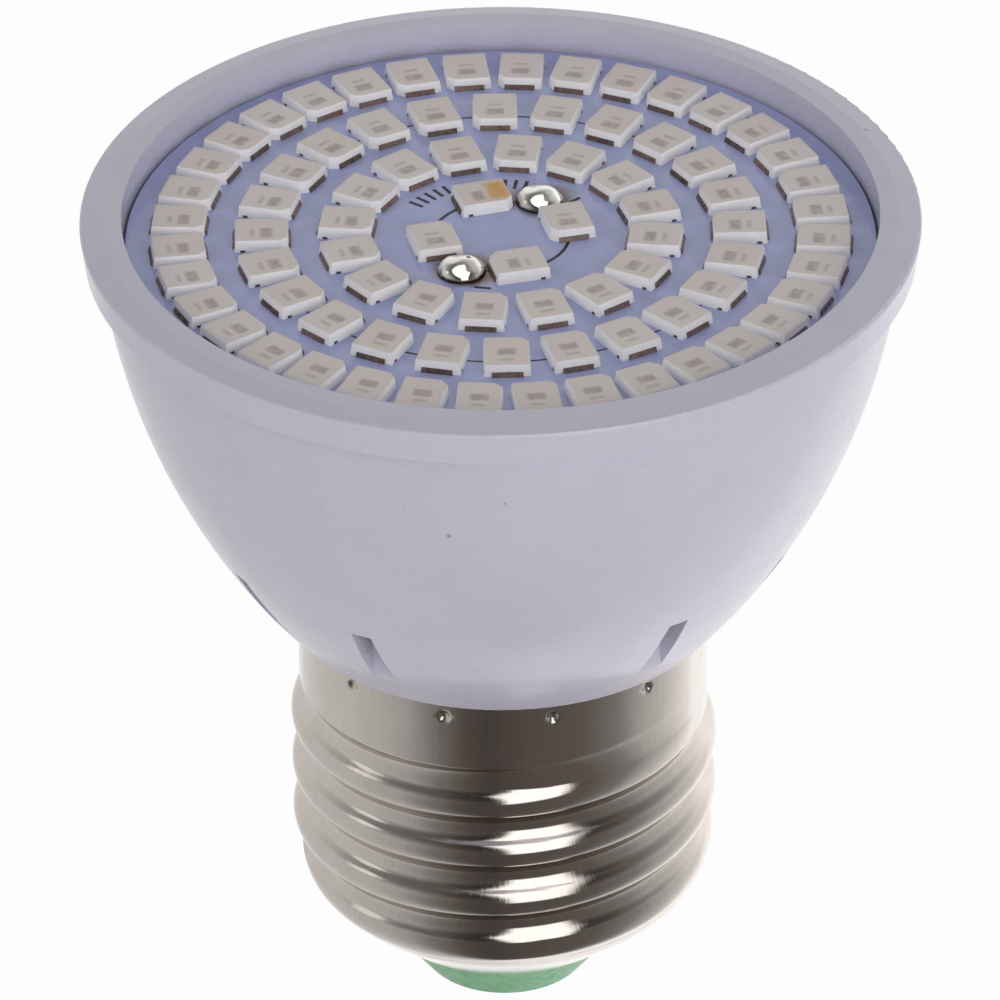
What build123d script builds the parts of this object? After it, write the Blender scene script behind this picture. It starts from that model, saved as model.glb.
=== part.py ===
from build123d import *
import math
import os

# Grow light bulb: a moulded cup with a ring board of light-emitting diodes in its mouth,
# on a rolled lamp screw shell of 27 mm. All lengths are millimetres.
# The origin is the middle of the centre contact's flat face, on which the bulb stands.
# +Z runs up the axis to the lit face, and -Y is the front.
# Angles named "turn" are degrees round the axis, counted from the front towards +X.

# Heights, from the contact's face upwards
contact_height = 0.85
insulator_drop = 3.65
shell_height = 23.4
shell_seat_gap = 0.1
cup_height = 26.6

# Cup: rim, skirt and bowl
rim_radius = 25.0
rim_wall = 2.5
rim_flat = 1.1
rim_fall = 0.25
rim_edge_fillet = 0.2
skirt_height = 2.0
skirt_taper = 0.25
skirt_step = 0.85
bowl_arc_radius = 45.0
bowl_wall = 1.4
bowl_foot_radius = 13.82
bowl_foot_fillet = 0.25
bowl_floor = 1.4

# Cup: seat of the board
recess_depth = 1.9
ledge_width = 1.3
ledge_height = 1.5
ledge_slope = 0.9

# Cup: vents, a ring of places with every third one left plain
vent_places = 12
vent_skip = 3
vent_turn = 3.5
vent_floor_radius = 15.8
vent_height = 7.4
vent_foot_width = 1.8
vent_top_width = 1.3

# Cup: neck inside the screw shell, with rails that hold the driver board
neck_length = 16.0
neck_clearance = 0.12
neck_wall = 1.15
rail_depth = 1.4
rail_width = 1.0
rail_stop = 1.0
rail_top_gap = 1.5

# Screw shell: rolled sheet with a round lamp thread
sheet = 0.3
collar_radius = 12.57
collar_height = 6.6
thread_radius = 13.1
thread_pitch = 25.4 / 7
thread_round = 1.025
thread_arc_steps = 3
thread_overshoot = 0.15
thread_crest_height = 14.75
thread_crest_turn = -90
thread_end_turn = 50
thread_runout_turn = 45
thread_turns = 4.6
thread_shoulder = 1.1
thread_foot = 5.0
cone_top_radius = 12.3
cone_height = 3.6
mouth_radius = 8.28

# Punch marks that lock the shell to the neck
punch_count = 12
punch_turn = -1.5
punch_drop = 1.5
punch_radius = 0.5
punch_tip_radius = 0.22
punch_depth = 0.35
punch_clearance = 0.15

# Contact insulator and centre contact
insulator_face_radius = 5.22
insulator_fit = 0.08
insulator_flange_radius = 10.4
insulator_flange_wall = 1.0
insulator_well_radius = 7.0
insulator_floor = 2.75
contact_radius = 4.0
contact_edge_chamfer = 0.3
rivet_radius = 1.5
rivet_head_radius = 2.3
rivet_head_height = 0.6
rivet_fit = 0.1

# Ring board
board_thickness = 1.0
board_fit = 0.2

# Light-emitting diodes, long side along the radius except in the middle
led_length = 3.26
led_width = 2.76
led_body_height = 0.6
led_draft = 0.08
led_frame = 0.22
led_window_depth = 0.3
led_corner = 0.45
led_gap = 0.1
terminal_thickness = 0.15
terminal_width = 1.8
terminal_length = 0.8
terminal_reach = 0.12
led_centre_gap = 0.94
led_ring_counts = {"outer": 36, "middle": 24, "inner": 16, "centre": 4}
led_ring_turns = {"outer": 6.1, "middle": 1.25, "inner": -6.4, "centre": 15.0}
led_radial_rings = ("outer", "middle", "inner")

# How the board's free width is shared out between its edge, the radial rings and the middle
led_edge_share = 1.36
led_between_share = 1.49
led_middle_share = 1.343

# Solder joints where the two board wires come up
joint_radius = 1.45
joint_height = 0.9
joint_clearance = 0.1
joint_bore_depth = 0.45

# Wires
wire_radius = 0.5
wire_fit = 0.1
wire_bend = 2.0
wire_start = 3.0

# Driver board and the parts on it
driver_thickness = 1.2
driver_height = 22.0
driver_fit = 0.15
part_gap = 0.05
film_size = (12.0, 5.0, 10.0)
film_lift = 2.5
film_fillet = 0.6
film_lead_spacing = 7.5
bridge_size = (4.7, 2.5, 4.0)
bridge_lift = 15.5
drum_radius = 3.8
drum_height = 11.0
drum_lift = 3.0
drum_chamfer = 0.5
drum_lead_spacing = 3.5
lead_radius = 0.25
resistor_radius = 1.15
resistor_length = 6.5
resistor_lead = 1.5
resistor_lift = 15.9
resistor_spacing = 3.0
resistor_count = 2

# Heights and radii that follow
z_insulator = contact_height
z_mouth = z_insulator + insulator_drop
z_shell_top = z_mouth + shell_height
z_cup = z_shell_top + shell_seat_gap
z_rim = z_cup + cup_height
z_skirt = z_rim - rim_fall - skirt_height
z_board_top = z_rim - recess_depth
z_ledge = z_board_top - board_thickness
z_floor = z_cup + bowl_floor
z_neck = z_cup - neck_length
z_collar = z_shell_top - collar_height
z_driver = z_neck + rail_stop
z_led = z_board_top + terminal_thickness

recess_radius = rim_radius - rim_wall
board_radius = recess_radius - board_fit
ledge_radius = recess_radius - ledge_width
joint_offset = led_length / 2 + terminal_reach + joint_clearance + joint_radius
led_centre_radius = led_width / 2 + led_length / 2 + terminal_reach + led_centre_gap
led_middle_reach = max(
    math.hypot(joint_offset, joint_offset) + joint_radius,
    math.hypot(led_centre_radius + led_width / 2, led_length / 2),
)
led_reach = led_length + 2 * terminal_reach
led_spare = board_radius - led_middle_reach - len(led_radial_rings) * led_reach
led_shares = led_edge_share + (len(led_radial_rings) - 1) * led_between_share + led_middle_share
led_ring_pitch = led_reach + led_spare * led_between_share / led_shares
led_outer_radius = board_radius - led_spare * led_edge_share / led_shares - led_reach / 2
bowl_top_radius = rim_radius - skirt_taper - skirt_step
thread_swing = math.asin(thread_pitch / 4 / thread_round)
thread_depth = 2 * thread_round * (1 - math.cos(thread_swing))
root_radius = thread_radius - thread_depth
neck_radius = collar_radius - sheet - neck_clearance
neck_low_radius = root_radius - sheet - neck_clearance
bore_radius = neck_low_radius - neck_wall
driver_half_width = math.sqrt(bore_radius**2 - (driver_thickness / 2 + driver_fit) ** 2) - driver_fit
z_thread_end = z_mouth + thread_crest_height + thread_pitch * (
    1 + (thread_end_turn + thread_runout_turn - thread_crest_turn) / 360
)


def at(radius, height):
    """Point of an outline in the XZ plane."""
    return Vector(radius, 0, height)


def turned(*lines):
    """Solid of revolution about the axis from the lines of a closed outline."""
    outline = Curve() + list(lines)
    return revolve(make_face(outline), Axis.Z)


def around(turn):
    """Placement that carries a shape drawn along +X to an angle counted from the front."""
    return Rot(0, 0, turn - 90)


def corner(section, radius, height):
    """Corner of a flat section nearest to a point of its outline."""
    return section.vertices().sort_by_distance(at(radius, height))[0]


def write(shape, node):
    """Save one node."""
    export_step(shape, f"parts/{node}.step")


def bowl_centre():
    """Centre of the bowl's arc, which joins the skirt to the foot."""
    rise = z_skirt - z_cup
    run = bowl_top_radius - bowl_foot_radius
    chord = math.hypot(rise, run)
    reach = math.sqrt(bowl_arc_radius**2 - chord**2 / 4)
    middle = at((bowl_top_radius + bowl_foot_radius) / 2, (z_skirt + z_cup) / 2)
    return middle + Vector(-rise, 0, run) / chord * reach


def bowl_point(height, inset=0.0):
    """Point of the bowl's outer arc, or of the parallel arc inside it."""
    centre = bowl_centre()
    radius = bowl_arc_radius - inset
    return at(centre.X + math.sqrt(radius**2 - (height - centre.Z) ** 2), height)


def bowl_arc(low, high, inset=0.0):
    """Arc of the bowl between two heights."""
    return ThreePointArc(
        bowl_point(low, inset), bowl_point((low + high) / 2, inset), bowl_point(high, inset)
    )


def cup_body():
    """Rim, skirt, bowl and neck, turned from one outline."""
    z_punch = z_shell_top - punch_drop
    groove_half = punch_radius + sheet + punch_clearance
    groove_radius = collar_radius - sheet - punch_depth - punch_clearance
    z_ledge_foot = z_ledge - ledge_height - ledge_slope
    outside = Polyline(
        at(recess_radius, z_rim),
        at(recess_radius + rim_flat, z_rim),
        at(rim_radius, z_rim - rim_fall),
        at(rim_radius - skirt_taper, z_skirt),
        at(bowl_top_radius, z_skirt),
    )
    neck = Polyline(
        at(bowl_foot_radius, z_cup),
        at(neck_radius, z_cup),
        at(neck_radius, z_punch + groove_half),
        at(groove_radius, z_punch + groove_half),
        at(groove_radius, z_punch - groove_half),
        at(neck_radius, z_punch - groove_half),
        at(neck_radius, z_thread_end + neck_radius - neck_low_radius),
        at(neck_low_radius, z_thread_end),
        at(neck_low_radius, z_neck),
        at(bore_radius, z_neck),
        at(bore_radius, z_floor),
        bowl_point(z_floor, bowl_wall),
    )
    seat = Polyline(
        bowl_point(z_ledge_foot, bowl_wall),
        at(ledge_radius, z_ledge - ledge_height),
        at(ledge_radius, z_ledge),
        at(recess_radius, z_ledge),
        at(recess_radius, z_rim),
    )
    bowl_outside = bowl_arc(z_cup, z_skirt)
    bowl_inside = bowl_arc(z_floor, z_ledge_foot, bowl_wall)
    section = make_face(Curve() + [outside, bowl_outside, neck, bowl_inside, seat])
    section = fillet(corner(section, rim_radius, z_rim - rim_fall), rim_edge_fillet)
    section = fillet(corner(section, bowl_foot_radius, z_cup), bowl_foot_fillet)
    return revolve(section, Axis.Z)


def vents():
    """Upright slots low in the bowl, each narrower at its top."""
    z_top = z_cup + vent_height
    outline = Polyline(
        (vent_floor_radius, -vent_foot_width / 2, z_cup),
        (vent_floor_radius, vent_foot_width / 2, z_cup),
        (vent_floor_radius, vent_top_width / 2, z_top),
        (vent_floor_radius, -vent_top_width / 2, z_top),
        close=True,
    )
    slot = extrude(make_face(outline), amount=rim_radius, dir=(1, 0, 0))
    spacing = 360 / vent_places
    return [around(vent_turn + spacing * i) * slot for i in range(vent_places) if i % vent_skip]


def driver_rails():
    """Two grooved rails up the neck's bore that take the driver board's edges."""
    z_top = z_cup - rail_top_gap
    groove = driver_thickness + 2 * driver_fit
    inner = bore_radius - rail_depth
    size = (rail_depth + neck_wall / 2, groove + 2 * rail_width, z_top - z_neck)
    low_corner = (Align.MIN, Align.CENTER, Align.MIN)
    block = Pos(inner, 0, z_neck) * Box(*size, align=low_corner)
    slot_size = (2 * rail_depth, groove, z_top - z_driver)
    slot = Pos(inner, 0, z_driver) * Box(*slot_size, align=low_corner)
    slot = slot & Pos(0, 0, z_neck) * Cylinder(
        bore_radius, z_top - z_neck, align=(Align.CENTER, Align.CENTER, Align.MIN)
    )
    rail = block - slot
    return [rail, Rot(0, 0, 180) * rail]


def cup_housing():
    """Moulded cup with its vents, board ledge and neck."""
    return cup_body() + driver_rails() - vents()


def thread_outline(inset):
    """Points of one thread groove from crest to crest, as (radius, height) about its root.

    The round root and crests are followed in even steps. The inset moves the outline
    into the sheet, square to it.
    """
    root_centre = root_radius + thread_round
    crest_centre = thread_radius - thread_round
    step = 2 * thread_swing / thread_arc_steps
    upper = []
    for i in range(thread_arc_steps // 2 + 1):
        angle = step / 2 + step * i
        radius = root_centre - (thread_round + inset) * math.cos(angle)
        upper.append((radius, (thread_round + inset) * math.sin(angle)))
    for i in range(1, thread_arc_steps // 2 + 1):
        angle = thread_swing - step * i
        radius = crest_centre + (thread_round - inset) * math.cos(angle)
        upper.append((radius, thread_pitch / 2 - (thread_round - inset) * math.sin(angle)))
    return [(r, -z) for r, z in reversed(upper)] + upper


def thread_groove(inset, start_turn, sweep_turn, spread=0.0):
    """Helical groove that leaves the thread when it is cut from the blank.

    Its flanks are carried on a little past the crest, and each side of it is the
    ruled surface between two helices. The spread is how far the groove climbs out of the
    metal over its length.
    """
    outline = thread_outline(inset)
    (r_near, z_near), (r_crest, z_crest) = outline[-2:]
    r_past = r_crest + thread_overshoot
    z_past = z_crest + thread_overshoot * (z_crest - z_near) / (r_crest - r_near)
    outline = [(r_past, -z_past)] + outline + [(r_past, z_past)]
    rise = thread_pitch * sweep_turn / 360
    z_first = z_mouth + thread_crest_height + thread_pitch / 2
    z_start = z_first + thread_pitch * (start_turn - thread_crest_turn) / 360
    cone = math.degrees(math.atan2(spread, rise))
    rails = []
    for radius, height in outline:
        helix = Edge.make_helix(thread_pitch, rise, radius, angle=cone)
        rails.append(Pos(0, 0, z_start + height) * around(start_turn) * helix)
    pairs = zip(rails, rails[1:] + rails[:1])
    sides = [Face.make_surface_from_curves(a, b) for a, b in pairs]
    ends = [Face(Wire.make_polygon([rail @ end for rail in rails], close=True)) for end in (0, 1)]
    return Solid(Shell(sides + ends))


def thread_cutters(inset):
    """The thread's groove and the run-out at its upper end."""
    sweep_turn = 360 * thread_turns
    start_turn = thread_end_turn - sweep_turn
    climb = thread_radius - root_radius
    return [
        thread_groove(inset, start_turn, sweep_turn),
        thread_groove(inset, thread_end_turn, thread_runout_turn, climb),
    ]


def shell_blank(inset):
    """Turned form of the screw shell before threading, or its inside at one sheet's depth."""
    crest = thread_outline(inset)[-1][0]
    collar = collar_radius - inset
    slope = math.atan2(cone_height, cone_top_radius - mouth_radius)
    shift = Vector(-math.sin(slope), 0, math.cos(slope)) * inset
    cone_top = at(cone_top_radius, z_mouth + cone_height) + shift
    mouth = at(mouth_radius, z_mouth) + shift
    rim = z_shell_top + inset
    way_out = [at(mouth.X, z_insulator)] if inset else []
    floor = z_insulator if inset else mouth.Z
    return turned(
        Polyline(
            at(0, floor),
            *way_out,
            mouth,
            cone_top,
            at(crest, z_mouth + thread_foot),
            at(crest, z_collar - thread_shoulder),
            at(collar, z_collar),
            at(collar, rim),
            at(0, rim),
            close=True,
        )
    )


def punch_marks(inset):
    """Round dimples with sloped sides, sunk into the collar or into its inside at one sheet's depth.

    Each runs on past the collar's surface, so that the cut leaves no skin.
    """
    slope = (punch_radius - punch_tip_radius) / punch_depth
    length = punch_depth + punch_clearance
    tip = punch_tip_radius + inset
    low = (Align.CENTER, Align.CENTER, Align.MIN)
    dimple = Rot(0, 90, 0) * Cone(tip, tip + slope * length, length, align=low)
    mark = Pos(collar_radius - inset - punch_depth, 0, z_shell_top - punch_drop) * dimple
    return [around(punch_turn + 360 / punch_count * (i + 0.5)) * mark for i in range(punch_count)]


def screw_shell():
    """Rolled sheet shell: collar, round thread and a cone turned in to the mouth."""
    outside = shell_blank(0) - thread_cutters(0) - punch_marks(0)
    inside = shell_blank(sheet) - thread_cutters(sheet) - punch_marks(sheet)
    return outside - inside


def contact_insulator():
    """Plastic plug that closes the shell's mouth and carries the centre contact."""
    slope = cone_height / (cone_top_radius - mouth_radius)
    neck = mouth_radius - sheet
    seat = z_mouth + sheet
    neck_fit = neck - insulator_fit
    flange_rise = (insulator_flange_radius - neck_fit) * slope
    z_flange = seat + flange_rise + insulator_fit
    z_well = z_insulator + insulator_floor
    return turned(
        Polyline(
            at(rivet_radius + rivet_fit, z_insulator),
            at(insulator_face_radius, z_insulator),
            at(neck_fit, z_mouth),
            at(neck_fit, seat + insulator_fit),
            at(insulator_flange_radius, z_flange),
            at(insulator_flange_radius, z_flange + insulator_flange_wall),
            at(insulator_well_radius, z_flange + insulator_flange_wall),
            at(insulator_well_radius, z_well),
            at(rivet_radius + rivet_fit, z_well),
            close=True,
        )
    )


def centre_contact():
    """Contact disc with a rivet through the insulator, bored for its wire."""
    z_well = z_insulator + insulator_floor
    z_top = z_well + rivet_head_height
    bore = wire_radius + wire_fit
    return turned(
        Polyline(
            at(0, 0),
            at(contact_radius - contact_edge_chamfer, 0),
            at(contact_radius, contact_edge_chamfer),
            at(contact_radius, contact_height),
            at(rivet_radius, contact_height),
            at(rivet_radius, z_well),
            at(rivet_head_radius, z_well),
            at(bore, z_top),
            at(bore, z_well),
            at(0, z_well),
            close=True,
        )
    )


def joint_places():
    """Plan positions of the two solder joints, in opposite corners between middle diodes."""
    place = around(led_ring_turns["centre"]) * Pos(joint_offset, -joint_offset, 0)
    opposite = Rot(0, 0, 180) * place
    return {"positive": place.position, "negative": opposite.position}


def led_board():
    """Metal-core board on the cup's ledge, with a hole for each wire."""
    base = (Align.CENTER, Align.CENTER, Align.MIN)
    board = Pos(0, 0, z_ledge) * Cylinder(board_radius, board_thickness, align=base)
    hole = Cylinder(wire_radius + wire_fit, board_thickness, align=base)
    return board - [Pos(p.X, p.Y, z_ledge) * hole for p in joint_places().values()]


def solder_joint(place):
    """Domed solder joint on the board with the wire's end in it."""
    ball_radius = (joint_radius**2 + joint_height**2) / (2 * joint_height)
    base = (Align.CENTER, Align.CENTER, Align.MIN)
    dome = Pos(0, 0, joint_height - ball_radius) * Sphere(ball_radius)
    dome = dome & Cylinder(joint_radius + joint_height, joint_height, align=base)
    dome = dome - Cylinder(wire_radius + wire_fit, joint_bore_depth, align=base)
    return Pos(place.X, place.Y, z_board_top) * dome


def led_outline(inset, height):
    """Outline of a diode, drawn in by an inset, with the corner cut that marks one terminal."""
    x = led_length / 2 - inset
    y = led_width / 2 - inset
    corners = [(-x, -y), (x, -y), (x, y), (led_corner - x, y), (-x, y - led_corner)]
    return make_face(Polyline(*[(*place, height) for place in corners], close=True))


def led_body():
    """Open-topped diode housing with sloped sides, standing on its underside."""
    body = loft([led_outline(0, 0), led_outline(led_draft, led_body_height)], ruled=True)
    return body - led_window()


def led_window():
    """Clear filling of the diode housing, flush with its top."""
    top = led_outline(led_draft + led_frame, led_body_height)
    return extrude(top, amount=led_window_depth, dir=(0, 0, -1))


def led_terminals():
    """Two foot plates between the diode housing and the board."""
    plate = Pos(led_length / 2 + terminal_reach, 0, 0) * Box(
        terminal_length, terminal_width, terminal_thickness, align=(Align.MAX, Align.CENTER, Align.MAX)
    )
    return [plate, Rot(0, 0, 180) * plate]


def led_places(ring):
    """Placements of one ring's diodes: radial, or along the tangent in the middle."""
    count = led_ring_counts[ring]
    radius = led_centre_radius
    own_turn = 90
    if ring in led_radial_rings:
        radius = led_outer_radius - led_ring_pitch * led_radial_rings.index(ring)
        own_turn = 0
        inner_end = radius - led_length / 2
        count = min(count, int(2 * math.pi * inner_end / (led_width + led_gap)))
    place = Pos(radius, 0, z_led) * Rot(0, 0, own_turn)
    return [around(led_ring_turns[ring] + 360 / count * i) * place for i in range(count)]


def wire(*points):
    """Wire along straight runs with round bends."""
    path = FilletPolyline(*points, radius=wire_bend)
    start = Plane(origin=path @ 0, z_dir=path % 0)
    return sweep(start * Circle(wire_radius), path=path)


def wire_lane():
    """Distance of a wire's middle from the driver board's mid plane."""
    return driver_thickness / 2 + part_gap + wire_radius


def wire_offset():
    """Distance of the wires from the axis along the driver board."""
    return bore_radius - rail_depth - 2 * wire_radius - wire_fit


def led_wire(place, side):
    """Wire from the driver board's head up through the ring board into its solder joint."""
    lane = -wire_lane()
    x = side * wire_offset()
    z_head = z_driver + driver_height
    z_low_bend = z_head + 2 * wire_bend
    z_high_bend = z_ledge - 2 * wire_bend
    z_end = z_board_top + joint_bore_depth - part_gap
    return wire(
        (x, lane, z_head - wire_start),
        (x, lane, z_low_bend),
        (place.X, place.Y, z_high_bend),
        (place.X, place.Y, z_end),
    )


def shell_wire():
    """Wire from the driver board's foot out to the inside of the screw shell."""
    x = wire_offset()
    lane = -wire_lane()
    z_run = z_neck - 2 * wire_radius - wire_fit
    inside = root_radius - sheet - wire_fit
    reach = math.sqrt(inside**2 - (lane - wire_radius) ** 2)
    return wire((x, lane, z_driver + wire_start), (x, lane, z_run), (reach, lane, z_run))


def contact_wire():
    """Wire from the driver board's foot into the centre contact's rivet."""
    x = -wire_offset()
    lane = -wire_lane()
    z_well = z_insulator + insulator_floor
    z_end = z_well + part_gap
    return wire(
        (x, lane, z_driver + wire_start),
        (x, lane, z_neck - wire_bend / 2),
        (0, 0, z_end + 2 * wire_bend),
        (0, 0, z_end),
    )


def driver_board():
    """Circuit board that stands in the neck's rails."""
    size = (2 * driver_half_width, driver_thickness, driver_height)
    return Pos(0, 0, z_driver) * Box(*size, align=(Align.CENTER, Align.CENTER, Align.MIN))


def on_driver(side, lift):
    """Placement on a face of the driver board, at a height above its foot."""
    return Pos(0, side * (driver_thickness / 2), z_driver + lift) * Rot(0, 0, 0 if side > 0 else 180)


def lead(*points):
    """Stiff lead along straight runs with sharp bends."""
    path = Polyline(*points)
    start = Plane(origin=path @ 0, z_dir=path % 0)
    return sweep(start * Circle(lead_radius), path=path, transition=Transition.RIGHT)


def bent_leads(spacing, middle):
    """Two leads that leave a part downwards and bend back to the board."""
    drop = 4 * lead_radius
    return [lead((x, middle, 0), (x, middle, -drop), (x, 0, -drop)) for x in (-spacing / 2, spacing / 2)]


def film_capacitor():
    """Boxed film capacitor against the board's back face, on bent leads."""
    block = Box(*film_size, align=(Align.CENTER, Align.MIN, Align.MIN))
    block = fillet(block.edges().filter_by(Axis.Y), film_fillet)
    return on_driver(1, film_lift) * (block + bent_leads(film_lead_spacing, film_size[1] / 2))


def bridge_rectifier():
    """Small rectifier block on the board's back face."""
    return on_driver(1, bridge_lift) * Box(*bridge_size, align=(Align.CENTER, Align.MIN, Align.MIN))


def smoothing_capacitor():
    """Drum capacitor lying upright along the board's front face."""
    base = (Align.CENTER, Align.CENTER, Align.MIN)
    drum = Cylinder(drum_radius, drum_height, align=base)
    drum = chamfer(drum.edges().filter_by(GeomType.CIRCLE), drum_chamfer)
    middle = drum_radius + part_gap
    return on_driver(-1, drum_lift) * (Pos(0, middle, 0) * drum + bent_leads(drum_lead_spacing, middle))


def dropper_resistors():
    """Barrel resistors across the board's front face, on their bent leads."""
    half = resistor_length / 2
    stand = resistor_radius + part_gap
    reach = half + resistor_lead
    body = Pos(0, stand, 0) * Rot(0, 90, 0) * Cylinder(resistor_radius, resistor_length)
    resistor = body + lead((-reach, 0, 0), (-reach, stand, 0), (reach, stand, 0), (reach, 0, 0))
    return [on_driver(-1, resistor_lift + resistor_spacing * i) * resistor for i in range(resistor_count)]


def main():
    """Write every node of the bulb."""
    os.makedirs("parts", exist_ok=True)
    write(cup_housing(), "cup_housing")
    write(screw_shell(), "screw_shell")
    write(contact_insulator(), "contact_insulator")
    write(centre_contact(), "centre_contact")
    write(led_board(), "led_board")
    for ring in led_ring_counts:
        places = led_places(ring)
        body, window, terminals = led_body(), led_window(), led_terminals()
        write(Compound([place * body for place in places]), f"led_housings_{ring}")
        write(Compound([place * window for place in places]), f"led_windows_{ring}")
        write(Compound([place * plate for place in places for plate in terminals]), f"led_terminals_{ring}")
    for (pole, place), side in zip(joint_places().items(), (-1, 1)):
        write(solder_joint(place), f"solder_joint_{pole}")
        write(led_wire(place, side), f"led_wire_{pole}")
    write(driver_board(), "driver_board")
    write(film_capacitor(), "film_capacitor")
    write(bridge_rectifier(), "bridge_rectifier")
    write(smoothing_capacitor(), "smoothing_capacitor")
    write(Compound(dropper_resistors()), "dropper_resistors")
    write(shell_wire(), "shell_wire")
    write(contact_wire(), "contact_wire")


main()
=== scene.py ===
"""Grow light bulb: its finishes, smooth lamp thread, diodes and solder, and the studio round it."""

import logging
import math
import random
from collections.abc import Callable
from dataclasses import dataclass, field, replace
from enum import Enum

import bmesh
import bpy
from mathutils import Matrix, Vector


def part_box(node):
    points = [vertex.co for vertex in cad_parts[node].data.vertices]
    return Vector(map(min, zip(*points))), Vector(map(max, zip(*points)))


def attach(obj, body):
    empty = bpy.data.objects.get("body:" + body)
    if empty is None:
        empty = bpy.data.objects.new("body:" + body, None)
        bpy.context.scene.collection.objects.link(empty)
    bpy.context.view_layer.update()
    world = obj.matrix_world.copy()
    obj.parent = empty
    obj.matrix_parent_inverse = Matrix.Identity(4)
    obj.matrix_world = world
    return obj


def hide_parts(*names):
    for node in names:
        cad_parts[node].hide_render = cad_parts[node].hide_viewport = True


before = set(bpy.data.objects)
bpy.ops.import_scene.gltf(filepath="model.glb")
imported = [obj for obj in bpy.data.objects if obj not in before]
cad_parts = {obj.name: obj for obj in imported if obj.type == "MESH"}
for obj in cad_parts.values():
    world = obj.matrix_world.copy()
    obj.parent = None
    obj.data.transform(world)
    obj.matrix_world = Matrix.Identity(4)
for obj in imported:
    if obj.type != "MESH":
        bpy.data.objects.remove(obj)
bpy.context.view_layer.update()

LOG = logging.getLogger("bulb")
MM = 0.001
BODY = "root"
COLOUR_GRAIN = (0.35, 0.75)
GLOSS_GRAIN = (0.3, 0.7)
IOR = 1.5
WELD_MM = 1e-4
COAT_ROUGHNESS = 0.06
WHITE = (1.0, 1.0, 1.0)
MOTTLE_NOISE = (4.0, 0.6)
STREAK_NOISE = (5.0, 0.7)
POLES = ("positive", "negative")
Socket = bpy.types.NodeSocket
Value = Socket | float
Colour = tuple[float, float, float]
Place = tuple[float, float, float]
Pair = tuple[float, float]
Faces = list[tuple[int, ...]]
Shape = tuple[list[Vector], Faces]


class Tree:
    """Short way to add and join the nodes of one tree."""

    def __init__(self, tree: bpy.types.NodeTree) -> None:
        """Keep the tree that is added to."""
        self.tree = tree

    def add(self, kind: str, inputs: dict | None = None, **settings: object) -> bpy.types.Node:
        """Add one node.

        Args:
            kind: Blender's name of the node.
            inputs: Values or sockets for its inputs, by name or number.
            settings: Properties of the node.

        Returns:
            The new node.
        """
        node = self.tree.nodes.new(kind)
        for name, value in settings.items():
            setattr(node, name, value)
        for key, value in (inputs or {}).items():
            if isinstance(value, Socket):
                self.tree.links.new(value, node.inputs[key])
            else:
                node.inputs[key].default_value = value
        return node

    def math(self, operation: str, *values: Value) -> Socket:
        """Add a math node and give its result."""
        return self.add("ShaderNodeMath", dict(enumerate(values)), operation=operation).outputs[0]

    def times(self, first: Value, *others: Value) -> Socket:
        """Multiply values.

        Args:
            first: The first value.
            others: The values that it is multiplied by, one after the other.

        Returns:
            The product.
        """
        for value in others:
            first = self.math("MULTIPLY", first, value)
        return first

    def plus(self, first: Value, second: Value) -> Socket:
        """Add two values."""
        return self.math("ADD", first, second)

    def minus(self, first: Value, second: Value) -> Socket:
        """Take the second value from the first."""
        return self.math("SUBTRACT", first, second)

    def ramp(self, value: Value, low: float, high: float, start: float = 0.0, end: float = 1.0) -> Socket:
        """Carry a value smoothly from one range to another, and hold it at the ends."""
        inputs = {"Value": value, "From Min": low, "From Max": high, "To Min": start, "To Max": end}
        return self.add("ShaderNodeMapRange", inputs, interpolation_type="SMOOTHSTEP").outputs["Result"]

    def mix(self, share: Value, first: Socket | Colour, second: Socket | Colour) -> Socket:
        """Mix two colours.

        Args:
            share: Share of the second colour.
            first: The first colour.
            second: The second colour.

        Returns:
            The mixed colour.
        """
        inputs = {0: share}
        for key, value in ((6, first), (7, second)):
            inputs[key] = value if isinstance(value, Socket) else (*value, 1.0)
        return self.add("ShaderNodeMix", inputs, data_type="RGBA").outputs[2]

    def split(self, vector: Socket) -> tuple[Socket, Socket, Socket]:
        """Give a vector's three parts."""
        parts = self.add("ShaderNodeSeparateXYZ", {0: vector}).outputs
        return parts[0], parts[1], parts[2]

    def distance(self, first: Socket, second: Place) -> Socket:
        """Give the distance of a place from a fixed one."""
        both = {0: first, 1: second}
        return self.add("ShaderNodeVectorMath", both, operation="DISTANCE").outputs["Value"]

    def noise(self, place: Socket, scale: Value, detail: float, roughness: float) -> Socket:
        """Give a noise at a place."""
        inputs = {"Vector": place, "Scale": scale, "Detail": detail, "Roughness": roughness}
        return self.add("ShaderNodeTexNoise", inputs).outputs["Fac"]

    def attribute(self, name: str, output: str) -> Socket:
        """Read an attribute of the mesh."""
        return self.add("ShaderNodeAttribute", attribute_name=name).outputs[output]

    def flat_map(self) -> tuple[Socket, Socket]:
        """Give the place in the mesh's own flat map."""
        u, v, _ = self.split(self.add("ShaderNodeUVMap", uv_map="UVMap").outputs[0])
        return u, v

    def group(self, group: bpy.types.NodeTree, **inputs: Value) -> Socket:
        """Place a shared group, with its inputs given by name, and give its result."""
        named = {name.replace("_", " "): value for name, value in inputs.items()}
        return self.add("ShaderNodeGroup", named, node_tree=group).outputs[0]


Fill = Callable[[Tree, dict[str, Socket]], Socket]


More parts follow.
